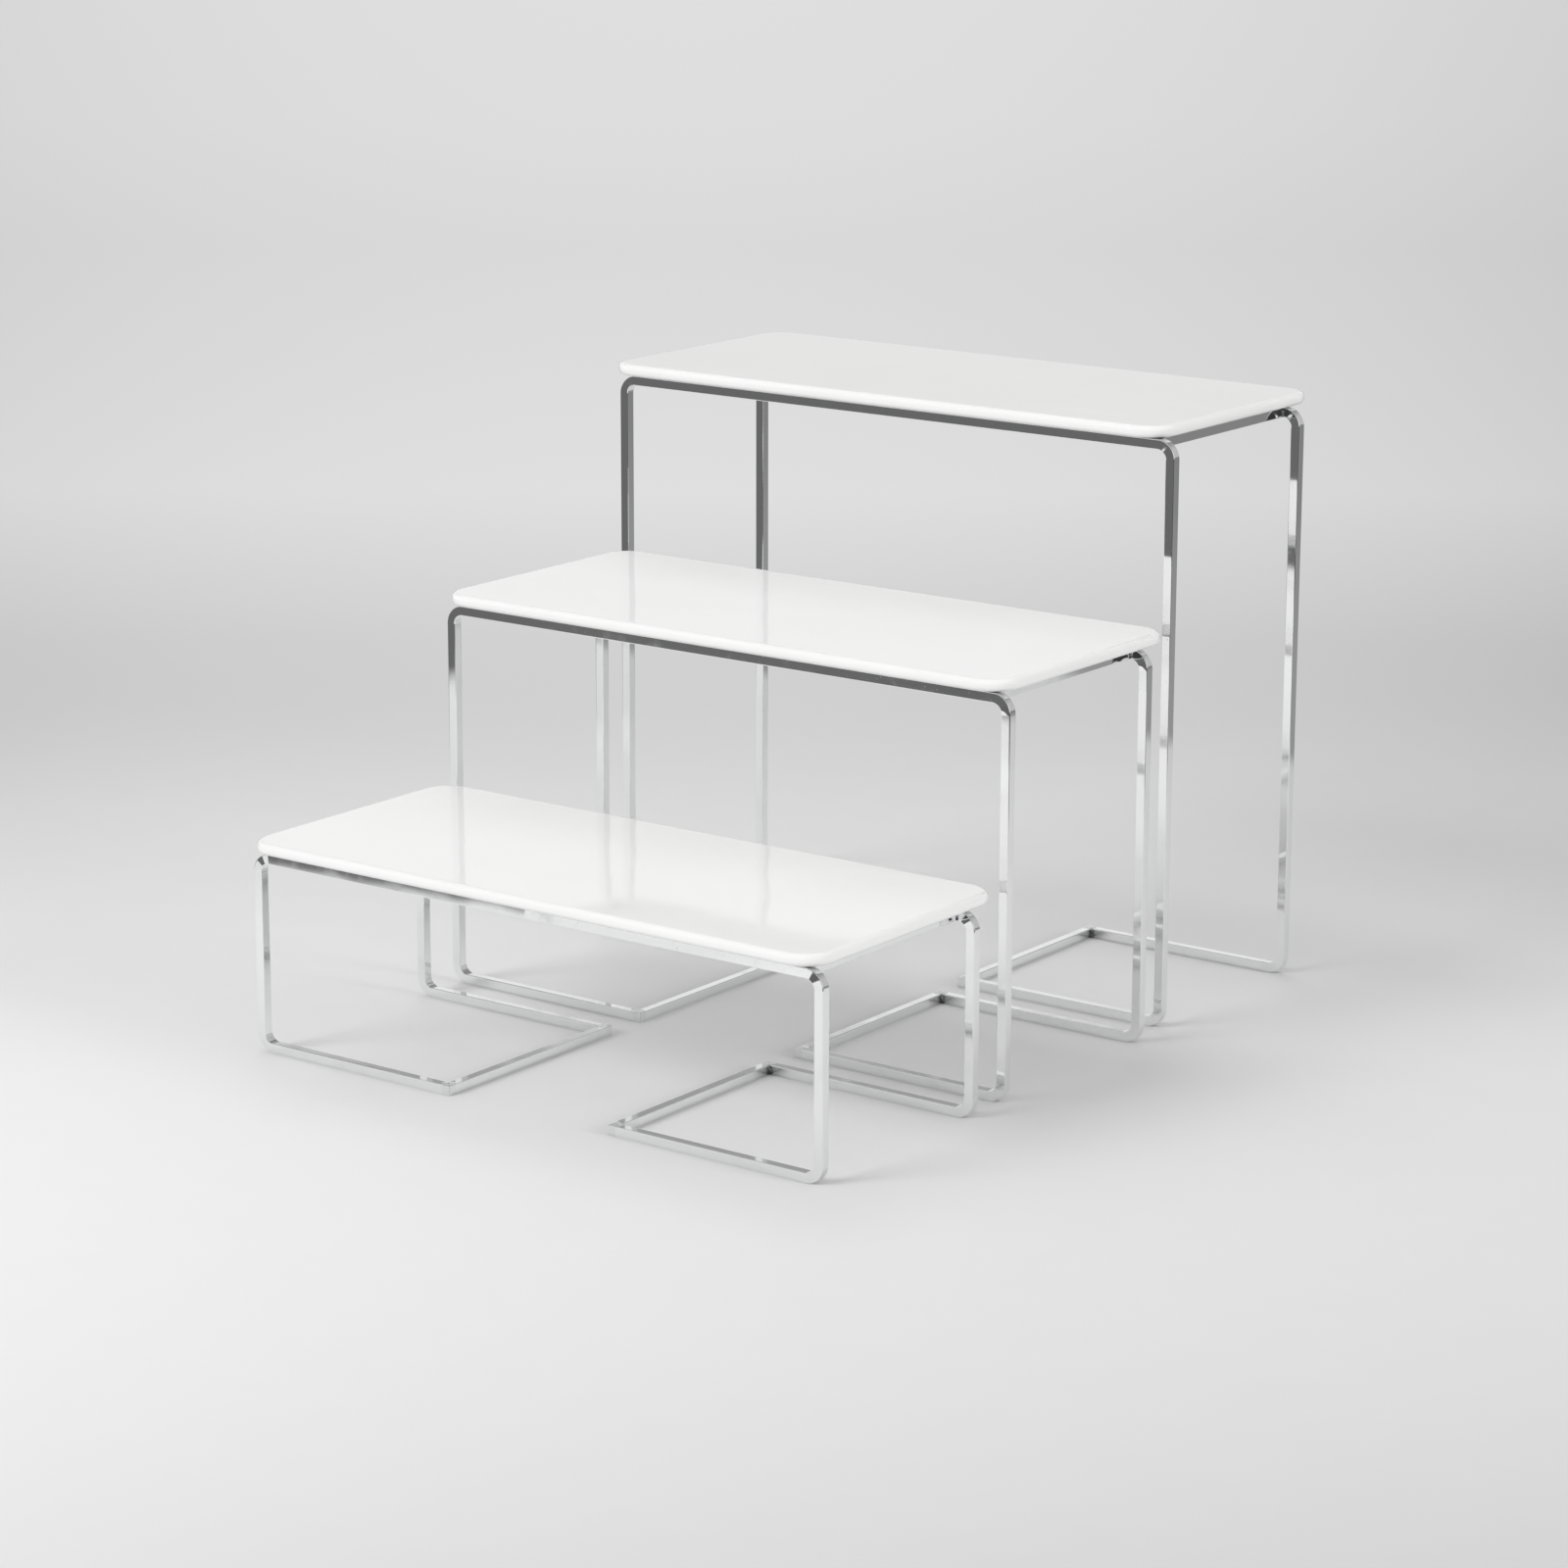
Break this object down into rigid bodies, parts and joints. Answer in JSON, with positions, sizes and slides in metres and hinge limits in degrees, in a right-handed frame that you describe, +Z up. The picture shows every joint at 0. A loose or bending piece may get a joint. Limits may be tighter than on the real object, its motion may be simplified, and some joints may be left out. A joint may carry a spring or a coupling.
{
  "type": "tiered dessert stand",
  "caption": "Row of free-standing stepped risers for desserts: polished square-bar frames with open feet, each carrying a loose white shelf with rounded corners.",
  "frame": {"origin": "middle of the row's outline, on the surface that it stands on", "axes": "+X along the shelves to the right as seen from the lowest riser, +Y from the lowest riser to the tallest, +Z up"},
  "size_m": [0.359, 0.449, 0.3058],
  "materials": {
    "chrome": "polished plate",
    "white_gloss": "gloss"
  },
  "bodies": {
    "tall_frame": {"tall_front_loop": "chrome", "tall_rear_loop": "chrome", "tall_left_cross_bar": "chrome", "tall_right_cross_bar": "chrome", "tall_left_rail": "chrome", "tall_right_rail": "chrome"},
    "tall_shelf": {"tall_shelf": "white_gloss"},
    "mid_frame": {"mid_front_loop": "chrome", "mid_rear_loop": "chrome", "mid_left_cross_bar": "chrome", "mid_right_cross_bar": "chrome", "mid_left_rail": "chrome", "mid_right_rail": "chrome"},
    "mid_shelf": {"mid_shelf": "white_gloss"},
    "small_frame": {"small_front_loop": "chrome", "small_rear_loop": "chrome", "small_left_cross_bar": "chrome", "small_right_cross_bar": "chrome", "small_left_rail": "chrome", "small_right_rail": "chrome"},
    "small_shelf": {"small_shelf": "white_gloss"}
  },
  "joints": [
    {"name": "tall_shelf_lift", "type": "slide", "parent": "tall_frame", "child": "tall_shelf", "axis": [0, 0, 1], "range_m": [0, 0.06]},
    {"name": "mid_draw", "type": "slide", "parent": "tall_frame", "child": "mid_frame", "axis": [0, -1, 0], "range_m": [0, 0.12]},
    {"name": "mid_shelf_lift", "type": "slide", "parent": "mid_frame", "child": "mid_shelf", "axis": [0, 0, 1], "range_m": [0, 0.06]},
    {"name": "small_draw", "type": "slide", "parent": "mid_frame", "child": "small_frame", "axis": [0, -1, 0], "range_m": [0, 0.12]},
    {"name": "small_shelf_lift", "type": "slide", "parent": "small_frame", "child": "small_shelf", "axis": [0, 0, 1], "range_m": [0, 0.06]}
  ]
}
